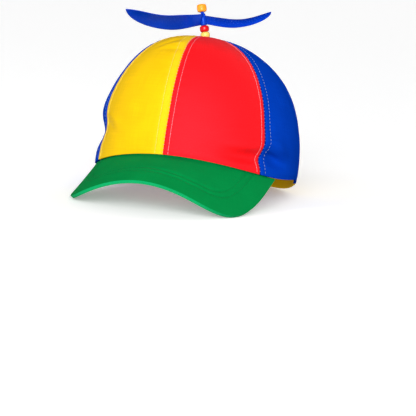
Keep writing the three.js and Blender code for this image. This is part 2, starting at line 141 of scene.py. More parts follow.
PEAK = {
    "front": -143, "middle_level": -31.1, "tuck": 3, "crowning": 1.0,
    "full_crowning_width": 52, "shoulder_limit": 0.5, "gap": 0.3, "thickness": 2.8, "rows": 56,
    "columns": 168, "samples": 600, "edge_rounding": 1.1, "edge_segments": 4,
}
PEAK_SIDES = {
    "right": {
        "half_width": 77.7, "corner_y": -39, "width_power": 2.9, "reach_power": 3.29, "droop": -35.2,
        "lobe_droop": -0.2, "corner_rise": 0.78, "corner_level": -12.2,
    },
    "left": {
        "half_width": 80, "corner_y": -35, "width_power": 2.8, "reach_power": 2.95, "droop": -35.3,
        "lobe_droop": -15.7, "corner_rise": 1.07, "corner_level": -8.2,
    },
}
# Where the peak meets the crown it dips a little, and its sewn-in edge turns up behind the cloth.
PEAK_DIP = {"depth": 0.9, "reach": 4.5, "turn_up": 2.2, "turn_up_width": 1.4}
PEAK_STITCH = {
    "insets": (18.5, 24.0), "right_groove": 0.08, "left_groove": 0.9, "groove_from": -25, "groove_to": 30,
    "groove_width": 0.8, "search_steps": 14, "step_out": 0.02,
}

POST = {
    "lean_right": 14.6, "lean_front": 3, "rod_radius": 1.5, "rod_top": 30.1, "foot_radius": 5,
    "foot_thickness": 1.2, "foot_drop": 1, "seat_share": 0.5, "seat_radius": 6, "seat_blend": 17,
    "sides": 40, "rounding": 0.35,
}
BEAD = {"bore": 1.75, "rounding": 1.9, "bore_rounding": 0.35, "sides": 48, "segments": 6}
BEADS = [
    {"node": "bead_yellow", "bottom": 0.7, "top": 5.9, "radius": 4.1},
    {"node": "bead_red", "bottom": 6.1, "top": 11.5, "radius": 4.05},
    {"node": "bead_orange", "bottom": 23.6, "top": 30.4, "radius": 4.2},
]
HUB = {"bottom": 11.9, "top": 22, "bottom_radius": 2.75, "top_radius": 2.4, "bore": 1.75, "rounding": 0.3}
BLADE = {
    "middle": 17.3, "yaw": 59.8, "root_chord": 10.3, "full_chord": 15.7, "full_at": 0.43, "tip_power": 7.4,
    "root_pitch": 65.2, "pitch_change": -57, "sag": -11.7, "tip_lift": 20.1, "sweep": -8.1, "thickness": 1.5,
    "edge_power": 0.55, "root_at": 2.0, "camber": 1.1, "around": 28, "stations": 64,
}
BLADES = [{"turn": 180, "length": 80.5, "bend": 1}, {"turn": 0, "length": 77.2, "bend": 0.86}]
# How finely small edges are rounded and how near points are to count as one.
ROUNDING = {"segments": 3, "sharp_angle": 50, "ring_tolerance": 0.01}
MERGE = {"turned": 1e-4, "blade": 1e-3}

# The camera in the cap's frame: its bearing, its height angle and roll, and where its axis passes
# to the right of and below the origin.
CAMERA = {
    "bearing": 16.67, "height": -2.4, "roll": 7.69, "distance": 1500, "aside": 9.284, "below": 38.168,
    "lens": 150.3, "sensor": 36, "clip_start": 0.05, "clip_end": 60,
}


def mix(start, end, share):
    return start + (end - start) * share


def smoothstep(start, end, value):
    share = min(1, max(0, (value - start) / (end - start)))
    return share * share * (3 - 2 * share)


def bell(distance, spread):
    return math.exp(-(distance / spread) ** 2)


def signed_angle(angle):
    return (angle + 180) % 360 - 180


def flat_direction(angle):
    return Vector((math.sin(math.radians(angle)), -math.cos(math.radians(angle)), 0))


# The post's frame, and the cap's place in the row, which the propeller's hinge gives.
post_foot = Vector((CROWN["shift_x"], CROWN["shift_y"], CROWN["height"]))
lean_right, lean_front = (math.sin(math.radians(POST[key])) for key in ("lean_right", "lean_front"))
post_axis = Vector((-lean_right, -lean_front, 0))
post_axis.z = math.sqrt(1 - post_axis.length_squared)
post_left = Vector((1, 0, 0)) - post_axis * post_axis.x
post_left.normalize()
post_back = post_axis.cross(post_left)
POST_TO_CAP = Matrix.Translation(post_foot) @ Matrix((post_left, post_back, post_axis)).transposed().to_4x4()

hinge = Vector(frame["joints"][0]["pos_m"]) / MM
cap_turn = Matrix.Rotation(-REST_PITCH, 4, "X")
cap_place = hinge - cap_turn @ (post_foot + post_axis * BLADE["middle"])
CAP_TO_ROW = Matrix.Scale(MM, 4) @ Matrix.Translation(cap_place) @ cap_turn
POST_TO_ROW = CAP_TO_ROW @ POST_TO_CAP


# Crown surface

def oval_radius(angle):
    across = math.sin(math.radians(angle)) / CROWN["half_width"]
    along = math.cos(math.radians(angle)) / CROWN["half_depth"]
    return 1 / math.hypot(across, along)


def dent_at(angle, rise):
    out = 0
    for dent in DENTS:
        sideways = signed_angle(angle - dent["angle"]) / dent["angle_spread"]
        upward = (rise - dent["rise"]) / dent["rise_spread"]
        out += dent["out"] * math.exp(-0.5 * (sideways * sideways + upward * upward))
    return out


def front_rim_level(angle):
    away = abs(signed_angle(angle))
    dipped = mix(RIM["front_level"], RIM["corner_level"], smoothstep(0, RIM["corner_angle"], away))
    level = mix(dipped, RIM["side_level"], smoothstep(RIM["corner_angle"], RIM["side_angle"], away))
    return level + RIM["left_rise"] * math.sin(math.radians(angle))


def rim_level(angle, y):
    """The crown's lower edge, which lies on the resting surface at the back."""
    surface = (y * math.sin(REST_PITCH) - cap_place.z) / math.cos(REST_PITCH)
    flat = smoothstep(RIM["flat_from"] - RIM["flat_blend"], RIM["flat_from"], abs(signed_angle(angle)))
    return mix(front_rim_level(angle), surface, flat)


def dome_climb(phase):
    return math.sin(phase) ** (2 / CROWN["height_power"])


def dome_spread(phase):
    return max(0, math.cos(phase)) ** (2 / CROWN["radius_power"])


def profile_lengths():
    """Length along the dome's side profile up to each of a row of phases."""
    lengths = [0]
    for k in range(1, CROWN["samples"] + 1):
        phase, before = (n / CROWN["samples"] * math.pi / 2 for n in (k, k - 1))
        inward = CROWN["half_depth"] * (dome_spread(before) - dome_spread(phase))
        upward = CROWN["height"] * (dome_climb(phase) - dome_climb(before))
        lengths.append(lengths[-1] + math.hypot(inward, upward))
    return lengths


PROFILE = profile_lengths()


def even_phase(share, top_phase):
    place = top_phase / (math.pi / 2) * CROWN["samples"]
    whole = min(CROWN["samples"] - 1, int(place))
    target = share * mix(PROFILE[whole], PROFILE[whole + 1], place - whole)
    k = max(1, bisect_left(PROFILE, target))
    part = (target - PROFILE[k - 1]) / (PROFILE[k] - PROFILE[k - 1])
    return (k - 1 + part) / CROWN["samples"] * math.pi / 2


def crown_point(angle, up, share=0):
    """A point on the crown: angle from the front, share of the way up, and share across its panel."""
    radius = oval_radius(angle)
    outward = flat_direction(angle)
    bottom = rim_level(angle, outward.y * (radius + dent_at(angle, 0)))
    top_phase = math.acos((CROWN["post_hole"] / radius) ** (CROWN["radius_power"] / 2))
    phase = even_phase(max(0, (up - CROWN["straight"]) / (1 - CROWN["straight"])), top_phase)
    climb = dome_climb(phase)
    straight = max(0, 1 - up / CROWN["straight"])
    level = bottom * straight + CROWN["height"] * climb
    shift = climb ** CROWN["shift_power"]
    point = outward * (dome_spread(phase) * radius)
    point += Vector((CROWN["shift_x"] * shift, CROWN["shift_y"] * shift, level))
    fade = 1 - smoothstep(CROWN["puff_fade"], 1, up)
    swell = CROWN["puff"] * math.sin(math.pi * share) * (1 - straight)
    push = (swell + dent_at(angle, level - bottom)) * fade
    point += outward * (push * math.cos(phase))
    point.z += push * math.sin(phase)
    return seat_post(point)


def seat_post(point):
    """The cloth round the post leans part of the way with it."""
    dx, dy = point.x - post_foot.x, point.y - post_foot.y
    share = 1 - smoothstep(POST["seat_radius"], POST["seat_blend"], math.hypot(dx, dy))
    lean = POST["seat_share"] * (post_axis.x * dx + post_axis.y * dy) / post_axis.z
    point.z = mix(point.z, post_foot.z - lean, share)
    return point


def crown_frame(angle, up, share=0, turn=1, climb=0.01):
    """The crown's point there, with its directions across, up and out."""
    across = crown_point(angle + turn, up, share) - crown_point(angle - turn, up, share)
    upward = crown_point(angle, min(1, up + climb), share) - crown_point(angle, max(0, up - climb), share)
    across.normalize()
    out = across.cross(upward).normalized()
    return crown_point(angle, up, share), across, out.cross(across), out


def crease_lines():
    """Each crease as its middle, its directions along and across, and its sizes."""
    lines = []
    for crease in CREASES:
        middle, across, upward, _ = crown_frame(crease["angle"], crease["up"])
        tilt = math.radians(crease["tilt"])
        along = across * math.cos(tilt) + upward * math.sin(tilt)
        lines.append((middle, along, upward * math.cos(tilt) - across * math.sin(tilt), crease))
    return lines


CREASE_LINES = crease_lines()


def crease_at(point):
    out = 0
    for middle, direction, upward, crease in CREASE_LINES:
        offset = point - middle
        along = offset.dot(direction)
        aside = (offset - direction * along).length
        width = crease["above"] if offset.dot(upward) > 0 else crease["below"]
        out += crease["out"] * bell(along, crease["length"]) * bell(aside, width)
    return out


def slack_at(point):
    """Gentle unevenness of soft cloth."""
    return sum(wave["out"] * noise.noise(point / wave["size"]) for wave in SLACK)


# Sewn panels

def seam_scale(width):
    return min(1, width / SEAM["full_width"])


def seam_relief(distance, stitch, rise):
    """How far the cloth stands out near a seam, by distance from it and height along it."""
    fall = smoothstep(stitch - SEAM["groove_width"], stitch + SEAM["allowance_fall"], distance)
    ridge = SEAM["allowance"] * (smoothstep(SEAM["allowance_from"], SEAM["allowance_full"], distance) - fall)
    turn = -SEAM["turn_in"] * bell(distance, SEAM["turn_width"])
    groove = -SEAM["groove"] * bell(distance - stitch, SEAM["groove_width"])
    wave = math.sin(2 * math.pi * rise / SEAM["pucker_length"])
    pucker = SEAM["pucker"] * wave * bell(distance - stitch, SEAM["pucker_reach"])
    return ridge + turn + groove + pucker


def panel_angle(panel, share, up):
    """The angle from the front at a share of the way across a panel, at a share of the way up."""
    bowed = smoothstep(SEAM_BOW["start"], SEAM_BOW["end"], up)
    first, last = (seam["angle"] + seam["bow"] * bowed for seam in panel["seams"])
    return mix(first, last, share)


def panel_width(panel, up):
    count = SEAM["width_samples"]
    shares = [k / count for k in range(count + 1)]
    points = [crown_point(panel_angle(panel, share, up), up, share) for share in shares]
    return sum((b - a).length for a, b in zip(points, points[1:]))


def panel_spot(panel, distance, width, up):
    """A point on the panel's finished outer face and its outward direction."""
    share = distance / width
    point, _, _, out = crown_frame(panel_angle(panel, share, up), up, share)
    scale = seam_scale(width)
    rise = up * PROFILE[-1]
    near = min(distance, width - distance) / max(scale, SEAM["least_scale"])
    relief = seam_relief(near, panel["stitch"], rise) * scale
    loose = (slack_at(point) + crease_at(point)) * smoothstep(0, SEAM["loose_from"], up)
    return point + out * (relief + loose * scale), out


def column_distance(column, width):
    """Where a column of the panel's grid lies, in millimetres from the seam that it starts at."""
    fine, first = SEAM["fine_columns"], SEAM["clearance"]
    reach = SEAM["fine_reach"] * seam_scale(width)
    if column <= fine:
        return mix(first, reach, column / fine)
    if column >= PANEL_COLUMNS - fine:
        return width - mix(first, reach, (PANEL_COLUMNS - column) / fine)
    return mix(reach, width - reach, (column - fine) / SEAM["middle_columns"])


def row_up(row):
    """How far up a row of the panel's grid lies. Rows are closer in the creased cloth low down."""
    if row <= SEAM["low_rows"]:
        return SEAM["low_reach"] * row / SEAM["low_rows"]
    return mix(SEAM["low_reach"], 1, (row - SEAM["low_rows"]) / (SEAM["rows"] - SEAM["low_rows"]))


def lay_weave(cloth, flat):
    """Gives each face its place on the flat cloth, which the weave follows."""
    weave = cloth.loops.layers.uv["weave"]
    for face in cloth.faces:
        for loop in face.loops:
            loop[weave].uv = flat[loop.vert]


def sewn_panel(panel):
    """A panel's outer face, and its width at each row of its grid."""
    columns, rows = PANEL_COLUMNS, SEAM["rows"]
    widths = [panel_width(panel, row_up(row)) for row in range(rows + 1)]
    cloth = bmesh.new()
    cloth.loops.layers.uv.new("weave")
    from_seam = cloth.verts.layers.float.new("from_seam")
    bmesh.ops.create_grid(cloth, x_segments=columns, y_segments=rows, size=0.5)
    flat = {}
    for vert in cloth.verts:
        column, row = round((vert.co.x + 0.5) * columns), round((vert.co.y + 0.5) * rows)
        width, up = widths[row], row_up(row)
        distance = column_distance(column, width)
        point, _ = panel_spot(panel, distance, width, up)
        if row == 0:
            point.z = rim_level(panel_angle(panel, distance / width, up), point.y)
        vert[from_seam] = min(distance, width - distance) / panel["stitch"]
        flat[vert] = (distance - width / 2, up * PROFILE[-1])
        vert.co = point
    lay_weave(cloth, flat)
    bmesh.ops.recalc_face_normals(cloth, faces=cloth.faces)
    if sum(face.normal.dot(face.calc_center_median()) for face in cloth.faces) < 0:
        bmesh.ops.reverse_faces(cloth, faces=cloth.faces)
    return cloth, widths


# Stitches

def even_steps(points, pitch):
    """Middles and directions of stitches set a pitch apart along a line of points."""
    steps, left = [], pitch / 2
    for (a, out), (b, _) in zip(points, points[1:]):
        length = (b - a).length
        direction = (b - a) / max(length, TINY)
        while left <= length:
            steps.append((a + direction * left, direction, out))
            left += pitch
        left -= length
    return steps


def add_stitches(sewing, points, sizes, crosswise=False):
    for middle, direction, out in even_steps(points, sizes["pitch"]):
        side = out.cross(direction).normalized()
        along, across = (side, -direction) if crosswise else (direction, side)
        turn = Matrix((along, across, along.cross(across))).transposed().to_4x4()
        size = Matrix.Diagonal((sizes["length"] / 2, THREAD["radius"], THREAD["radius"], 1))
        place = Matrix.Translation(middle + out * sizes.get("lift", THREAD["proud"])) @ turn @ size
        # The sphere's poles lie along the stitch.
        tip = place @ Matrix.Rotation(math.pi / 2, 4, "Y")
        bmesh.ops.create_uvsphere(
            sewing, u_segments=THREAD["sides"], v_segments=THREAD["rings"], radius=1, matrix=tip
        )


def line_up_panel(panel, widths, from_seam, from_end=False):
    """Spots up a panel at a distance from the seam that it starts or ends at."""
    line = []
    for row in range(SEAM["rows"] + 1):
        up, width = row_up(row), widths[row]
        if up * PROFILE[-1] < THREAD["rim_margin"] or up > THREAD["top_margin"]:
            continue
        distance = from_seam * seam_scale(width)
        line.append(panel_spot(panel, width - distance if from_end else distance, width, up))
    return line


def panel_stitches(panel, widths):
    sewing = bmesh.new()
    for from_end in (False, True):
        line = line_up_panel(panel, widths, panel["stitch"], from_end)
        add_stitches(sewing, line, STITCHES[panel["cloth"]])
    add_stitches(sewing, line_up_panel(panel, widths, SEAM["clearance"]), SEAM_THREAD, crosswise=True)
    return sewing


# Peak

def peak_edge(along):
    """The peak's outer edge, from the wearer's right corner (-1) to the left one (1)."""
    side = PEAK_SIDES["right" if along < 0 else "left"]
    turn = abs(along) * math.pi / 2
    aside = math.sin(turn) ** (2 / side["width_power"])
    ahead = max(0, math.cos(turn)) ** (2 / side["reach_power"])
    drooped = PEAK["middle_level"] + side["droop"] * aside ** 2 + side["lobe_droop"] * aside ** 4
    level = mix(side["corner_level"], drooped, ahead ** side["corner_rise"]) + PEAK["thickness"] * ahead
    across = math.copysign(side["half_width"] * aside, along)
    return Vector((across, mix(side["corner_y"], PEAK["front"], ahead), level))


def even_line(points, count):
    """Points set evenly along a line."""
    reached = [0]
    for a, b in zip(points, points[1:]):
        reached.append(reached[-1] + (b - a).length)
    even = []
    for n in range(count + 1):
        target = reached[-1] * n / count
        k = min(len(points) - 1, max(1, bisect_left(reached, target)))
        even.append(points[k - 1].lerp(points[k], (target - reached[k - 1]) / (reached[k] - reached[k - 1])))
    return even, reached[-1]


PEAK_LINE, PEAK_LENGTH = even_line(
    [peak_edge(mix(-1, 1, k / PEAK["samples"])) for k in range(PEAK["samples"] + 1)], PEAK["columns"]
)


def edge_bearing(point):
    return math.degrees(math.atan2(point.x, -point.y))


def peak_spot(column, share):
    """A point on the peak's upper face: column along its edge, share of the way out from the crown."""
    rimward = PEAK_LINE[column]
    angle = mix(edge_bearing(PEAK_LINE[0]), edge_bearing(PEAK_LINE[-1]), column / PEAK["columns"])
    inner = flat_direction(angle) * (oval_radius(angle) + dent_at(angle, 0) - PEAK["tuck"])
    inner.z = front_rim_level(angle) - PEAK["gap"]
    width = (rimward - inner).length
    shoulder = min(PEAK["tuck"] / width, PEAK["shoulder_limit"])
    drop = max(0, (share - shoulder) / (1 - shoulder))
    crowning = PEAK["crowning"] * min(1, width / PEAK["full_crowning_width"])
    point = inner.lerp(rimward, share)
    point.z = mix(inner.z, rimward.z, drop) + crowning * math.sin(math.pi * drop)
    return point, width


def edge_distance(point):
    return min((point - mark).length for mark in PEAK_LINE)


def sewn_in_rise(from_inside, width):
    """How the peak rises and dips where it is sewn in, by distance from its inner edge."""
    full = min(1, width / PEAK["full_crowning_width"])
    dip = PEAK_DIP["depth"] * bell(max(0, from_inside - PEAK["tuck"]), PEAK_DIP["reach"])
    behind = 1 - smoothstep(0, PEAK_DIP["turn_up_width"], from_inside)
    return full * (PEAK_DIP["turn_up"] * behind - dip * min(1, from_inside / PEAK["tuck"]))


def groove_depth(across):
    """How far a row of stitches pulls the peak's cloth in, which is more on the wearer's left."""
    share = smoothstep(PEAK_STITCH["groove_from"], PEAK_STITCH["groove_to"], across)
    return mix(PEAK_STITCH["right_groove"], PEAK_STITCH["left_groove"], share)


def covered_peak():
    cover = bmesh.new()
    cover.loops.layers.uv.new("weave")
    columns, rows = PEAK["columns"], PEAK["rows"]
    bmesh.ops.create_grid(cover, x_segments=columns, y_segments=rows, size=0.5)
    flat = {}
    for vert in cover.verts:
        column, row = round((vert.co.x + 0.5) * columns), round((vert.co.y + 0.5) * rows)
        point, width = peak_spot(column, row / rows)
        inset = edge_distance(point)
        point.z += sewn_in_rise(width * row / rows, width)
        for line in PEAK_STITCH["insets"]:
            point.z -= groove_depth(point.x) * bell(inset - line, PEAK_STITCH["groove_width"])
        flat[vert] = (PEAK_LENGTH * (column / columns - 0.5), width * row / rows)
        vert.co = point
    lay_weave(cover, flat)
    bmesh.ops.recalc_face_normals(cover, faces=cover.faces)
    if sum(face.normal.z for face in cover.faces) < 0:
        bmesh.ops.reverse_faces(cover, faces=cover.faces)
    return cover


def share_at_inset(column, inset):
    """The share of the way out from the crown at which the peak's edge is an inset away, by halving."""
    low, high = 0.0, 1.0
    for _ in range(PEAK_STITCH["search_steps"]):
        middle = (low + high) / 2
        if edge_distance(peak_spot(column, middle)[0]) > inset:
            low = middle
        else:
            high = middle
    return low


def peak_stitches():
    """Rows of stitches that follow the peak's outer edge, from the crown round to the crown again."""
    sewing = bmesh.new()
    for inset in PEAK_STITCH["insets"]:
        line = []
        for column in range(PEAK["columns"] + 1):
            share = share_at_inset(column, inset)
            spot, width = peak_spot(column, share)
            if width * share < PEAK["tuck"]:
                continue
            ahead = peak_spot(column, min(1, share + PEAK_STITCH["step_out"]))[0] - spot
            before, after = max(0, column - 1), min(PEAK["columns"], column + 1)
            aside = peak_spot(after, share)[0] - peak_spot(before, share)[0]
            out = ahead.cross(aside).normalized()
            spot.z += sewn_in_rise(width * share, width) - groove_depth(spot.x)
            line.append((spot, out if out.z > 0 else -out))
        add_stitches(sewing, line, STITCHES["green"])
    return sewing


# Post, beads and propeller

def turned(outline, sides, closed):
    """A solid of revolution about Z from a few corners (radius, height)."""
    solid = bmesh.new()
    corners = [solid.verts.new((radius, 0, height)) for radius, height in outline]
    edges = [solid.edges.new(pair) for pair in zip(corners, corners[1:])]
    if closed:
        edges.append(solid.edges.new((corners[-1], corners[0])))
    bmesh.ops.spin(
        solid, geom=corners + edges, cent=(0, 0, 0), axis=(0, 0, 1), angle=2 * math.pi, steps=sides,
        use_merge=True,
    )
    bmesh.ops.remove_doubles(solid, verts=solid.verts, dist=MERGE["turned"])
    bmesh.ops.recalc_face_normals(solid, faces=solid.faces)
    return solid


def round_ring(solid, radius, height, amount, segments=ROUNDING["segments"]):
    """Rounds the ring of edges at that radius and height."""
    def on_ring(vert):
        miss = max(abs(vert.co.xy.length - radius), abs(vert.co.z - height))
        return miss < ROUNDING["ring_tolerance"]
    ring = [edge for edge in solid.edges if all(on_ring(vert) for vert in edge.verts)]
    bmesh.ops.bevel(
        solid, geom=ring, offset=amount, offset_type="OFFSET", segments=segments, profile=0.5,
        affect="EDGES", material=-1,
    )


def rod_and_foot():
    under = -CROWN["wall"] - POST["foot_drop"]
    bottom = under - POST["foot_thickness"]
    solid = turned(
        [
            (0, bottom), (POST["foot_radius"], bottom), (POST["foot_radius"], under),
            (POST["rod_radius"], under), (POST["rod_radius"], POST["rod_top"]), (0, POST["rod_top"]),
        ],
        POST["sides"], closed=False,
    )
    round_ring(solid, POST["rod_radius"], POST["rod_top"], POST["rounding"])
    round_ring(solid, POST["foot_radius"], bottom, POST["rounding"])
    round_ring(solid, POST["foot_radius"], under, POST["rounding"])
    return solid


def bead(sizes):
    outline = [
        (BEAD["bore"], sizes["bottom"]), (sizes["radius"], sizes["bottom"]),
        (sizes["radius"], sizes["top"]), (BEAD["bore"], sizes["top"]),
    ]
    solid = turned(outline, BEAD["sides"], closed=True)
    for height in (sizes["bottom"], sizes["top"]):
        round_ring(solid, sizes["radius"], height, BEAD["rounding"], BEAD["segments"])
        round_ring(solid, BEAD["bore"], height, BEAD["bore_rounding"])
    return solid


def hub():
    outline = [
        (HUB["bore"], HUB["bottom"]), (HUB["bottom_radius"], HUB["bottom"]),
        (HUB["top_radius"], HUB["top"]), (HUB["bore"], HUB["top"]),
    ]
    solid = turned(outline, POST["sides"], closed=True)
    round_ring(solid, HUB["bottom_radius"], HUB["bottom"], HUB["rounding"])
    round_ring(solid, HUB["top_radius"], HUB["top"], HUB["rounding"])
    return solid


def blade(sizes):
    """A blade along +X: steep at the hub, flatter at the tip, sagging and then lifting outwards."""
    around, stations = BLADE["around"], BLADE["stations"]
    skin = bmesh.new()
    bmesh.ops.create_grid(skin, x_segments=around, y_segments=stations, size=0.5)
    for vert in skin.verts:
        turn = round((vert.co.x + 0.5) * around) % around * 2 * math.pi / around
        station = round((vert.co.y + 0.5) * stations) / stations
        # Stations crowd towards the tip, where the blade rounds off.
        out = mix(BLADE["root_at"] / sizes["length"], 1, math.sin(station * math.pi / 2))
        taper = max(0, (out - BLADE["full_at"]) / (1 - BLADE["full_at"])) ** BLADE["tip_power"]
        full = smoothstep(0, BLADE["full_at"], out)
        chord = mix(BLADE["root_chord"], BLADE["full_chord"], full) * (1 - taper) / 2
        half = BLADE["thickness"] / 2 * math.sqrt(max(0, 1 - taper))
        pitch = math.radians(BLADE["root_pitch"] + BLADE["pitch_change"] * out)
        level = BLADE["middle"] + (BLADE["sag"] * out + BLADE["tip_lift"] * out ** 3) * sizes["bend"]
        across = chord * math.cos(turn)
        lift = math.copysign(half * abs(math.sin(turn)) ** BLADE["edge_power"], math.sin(turn))
        lift += BLADE["camber"] * math.sin(turn) ** 2 * full * (1 - taper)
        vert.co = (
            sizes["length"] * out,
            BLADE["sweep"] * out ** 2 + across * math.cos(pitch) - lift * math.sin(pitch),
            level + across * math.sin(pitch) + lift * math.cos(pitch),
        )
    bmesh.ops.remove_doubles(skin, verts=skin.verts, dist=MERGE["blade"])
    bmesh.ops.holes_fill(skin, edges=skin.edges, sides=0)
    bmesh.ops.recalc_face_normals(skin, faces=skin.faces)
    about_hub = Matrix.Rotation(math.radians(sizes["turn"]), 3, "Z")
    bmesh.ops.rotate(skin, verts=skin.verts, cent=(0, 0, 0), matrix=about_hub)
    return skin


# Materials

# Lengths are millimetres. Scales of noise are per metre, or per millimetre of weave. A span holds the
# values of a noise between which a change runs, and a shade is a share of the piece's colour.
CLOTH = {
    "rib": 1.15, "rib_turn": 62, "rib_waver": 0.6, "rib_share": 0.1, "rib_shade": 0.55,
    "thread": 0.58, "thread_waver": 0.9, "thread_height": 0.45,
    "mottle": 55, "mottle_detail": 4, "mottle_span": (0.3, 0.7), "mottle_dark": 0.93, "mottle_light": 1.05,
    "fleck": 0.9, "fleck_detail": 3, "fleck_span": (0.35, 0.7), "fleck_share": 0.1, "fleck_shade": 0.7,
    "slub_length": 26, "slub_width": 0.9, "slub_detail": 2, "slub_span": (0.3, 0.7), "slub_share": 0.2,
    "slub_shade": 0.6, "rough": 0.7, "rough_change": 0.08, "rough_span": (0.3, 0.7),
    "bump": 0.3, "bump_depth": 0.1,
}
# Tints near a seam, by distance from it as a share of the distance to its stitch line.
# The valley tint is painted shade: the cloth is darkened down in the seam, where shade falls.
SEAM_TINT = {
    "allowance_span": (0.7, 1.5), "allowance_share": 0.45, "painted_shade_span": (0, 0.2), "painted_shade_tone": 0.08,
}
SEWING = {
    "uneven": 420, "uneven_detail": 3, "uneven_span": (0.35, 0.65), "dark": 0.72, "light": 1.08,
    "rough_span": (0.3, 0.7), "smoothest": 0.5, "roughest": 0.7, "gloss": 0.1,
    "fibre": 2400, "fibre_detail": 2, "bump": 0.4, "bump_depth": 0.08,
}
PLASTIC = {
    "flow": 70, "flow_detail": 3, "flow_span": (0.3, 0.7), "dark": 0.86, "light": 1.1,
    "scuff": 900, "scuff_detail": 5, "scuff_span": (0.35, 0.75), "smoother": 0.05, "rougher": 0.14,
    "glow_radius": (1.0, 0.6, 0.3), "glow_depth": 2,
    "ripple": 190, "ripple_detail": 2, "bump": 0.25, "bump_depth": 0.15,
}
WHITE = (1, 1, 1)


def new_finish(name):
    material = bpy.data.materials.new(name)
    material.use_nodes = True
    return material, material.node_tree, material.node_tree.nodes["Principled BSDF"]


def wave_bands(tree, coordinates, turn, period, distortion):
    """Bands of light and dark a period apart, turned by an angle."""
    mapping = tree.nodes.new("ShaderNodeMapping")
    mapping.inputs["Rotation"].default_value[2] = math.radians(turn)
    tree.links.new(coordinates, mapping.inputs["Vector"])
    wave = tree.nodes.new("ShaderNodeTexWave")
    # At a scale of 1 the bands are a tenth of pi apart.
    wave.inputs["Scale"].default_value = math.pi / 10 / period
    wave.inputs["Distortion"].default_value = distortion
    wave.inputs["Detail"].default_value = 1
    wave.inputs["Detail Scale"].default_value = 1
    tree.links.new(mapping.outputs["Vector"], wave.inputs["Vector"])
    return wave.outputs["Fac"]


def soft_noise(tree, coordinates, scale, detail):
    texture = tree.nodes.new("ShaderNodeTexNoise")
    texture.inputs["Scale"].default_value = scale
    texture.inputs["Detail"].default_value = detail
    tree.links.new(coordinates, texture.inputs["Vector"])
    return texture.outputs["Fac"]


def slubs(tree, coordinates, length, width):
    """Uneven threads: streaks that run along the first axis of the cloth."""
    mapping = tree.nodes.new("ShaderNodeMapping")
    mapping.inputs["Scale"].default_value = (1 / length, 1 / width, 1)
    tree.links.new(coordinates, mapping.inputs["Vector"])
    return soft_noise(tree, mapping.outputs["Vector"], 1, CLOTH["slub_detail"])


def blend_colors(tree, factor, first, second):
    """Mixes two colours, each a colour or another node's output."""
    node = tree.nodes.new("ShaderNodeMix")
    node.data_type = "RGBA"
    for name, value in (("Factor", factor), ("A", first), ("B", second)):
        socket = next(s for s in node.inputs if s.name == name and s.enabled)
        if isinstance(value, bpy.types.NodeSocket):
            tree.links.new(value, socket)
        else:
            socket.default_value = value
    return next(s for s in node.outputs if s.enabled)


def range_map(tree, value, span, low, high):
    """A value that goes from low to high as another goes through a span."""
    node = tree.nodes.new("ShaderNodeMapRange")
    for name, number in zip(("From Min", "From Max", "To Min", "To Max"), (*span, low, high)):
        node.inputs[name].default_value = number
    tree.links.new(value, node.inputs["Value"])
    return node.outputs["Result"]


def shade(color, factor=1):
    return (color[0] * factor, color[1] * factor, color[2] * factor, 1)


def add_bump(tree, surface, height, sizes):
    bump = tree.nodes.new("ShaderNodeBump")
    bump.inputs["Strength"].default_value = sizes["bump"]
    bump.inputs["Distance"].default_value = sizes["bump_depth"] * MM
    tree.links.new(height, bump.inputs["Height"])
    tree.links.new(bump.outputs["Normal"], surface.inputs["Normal"])


def cotton_twill(name, color, gloss, gleam, seam_color=None, valley=0.0):
    """Matt twill of fine ribs, a little mottled, paler over the seam allowance, painted shade in the seam."""
    material, tree, surface = new_finish(name)
    weave = tree.nodes.new("ShaderNodeUVMap")
    weave.uv_map = "weave"
    weave = weave.outputs["UV"]
    place = tree.nodes.new("ShaderNodeTexCoord").outputs["Object"]
    ribs = wave_bands(tree, weave, CLOTH["rib_turn"], CLOTH["rib"], CLOTH["rib_waver"])
    threads = wave_bands(tree, weave, 0, CLOTH["thread"], CLOTH["thread_waver"])
    mottle = soft_noise(tree, place, CLOTH["mottle"], CLOTH["mottle_detail"])
    fleck = soft_noise(tree, weave, CLOTH["fleck"], CLOTH["fleck_detail"])

    mottled = range_map(tree, mottle, CLOTH["mottle_span"], 0, 1)
    dark, light = shade(color, CLOTH["mottle_dark"]), shade(color, CLOTH["mottle_light"])
    tint = blend_colors(tree, mottled, dark, light)
    ribbed = range_map(tree, ribs, (0, 1), CLOTH["rib_share"], 0)
    tint = blend_colors(tree, ribbed, tint, shade(color, CLOTH["rib_shade"]))
    flecked = range_map(tree, fleck, CLOTH["fleck_span"], CLOTH["fleck_share"], 0)
    tint = blend_colors(tree, flecked, tint, shade(color, CLOTH["fleck_shade"]))
    along, across = CLOTH["slub_length"], CLOTH["slub_width"]
    for streak_size in ((along, across), (across, along)):
        streaks = slubs(tree, weave, *streak_size)
        streaked = range_map(tree, streaks, CLOTH["slub_span"], CLOTH["slub_share"], 0)
        tint = blend_colors(tree, streaked, tint, shade(color, CLOTH["slub_shade"]))
    distance = tree.nodes.new("ShaderNodeAttribute")
    distance.attribute_name = "from_seam"
    distance = distance.outputs["Fac"]
    if seam_color:
        over = range_map(tree, distance, SEAM_TINT["allowance_span"], SEAM_TINT["allowance_share"], 0)
        tint = blend_colors(tree, over, tint, shade(seam_color))
    # Painted shade: the cloth is darkened down in the seam's valley, by distance from the seam.
    if valley:
        painted_shade_share = range_map(tree, distance, SEAM_TINT["painted_shade_span"], valley, 0)
        tint = blend_colors(tree, painted_shade_share, tint, shade(color, SEAM_TINT["painted_shade_tone"]))
    tree.links.new(tint, surface.inputs["Base Color"])

    smoothest, roughest = CLOTH["rough"] - CLOTH["rough_change"], CLOTH["rough"] + CLOTH["rough_change"]
    rough = range_map(tree, fleck, CLOTH["rough_span"], smoothest, roughest)
    tree.links.new(rough, surface.inputs["Roughness"])
    surface.inputs["Specular IOR Level"].default_value = gloss
    surface.inputs["Specular Tint"].default_value = shade(gleam)
    height = tree.nodes.new("ShaderNodeMath")
    height.operation = "MULTIPLY_ADD"
    tree.links.new(threads, height.inputs[0])
    height.inputs[1].default_value = CLOTH["thread_height"]
    tree.links.new(ribs, height.inputs[2])
    add_bump(tree, surface, height.outputs["Value"], CLOTH)
    return material


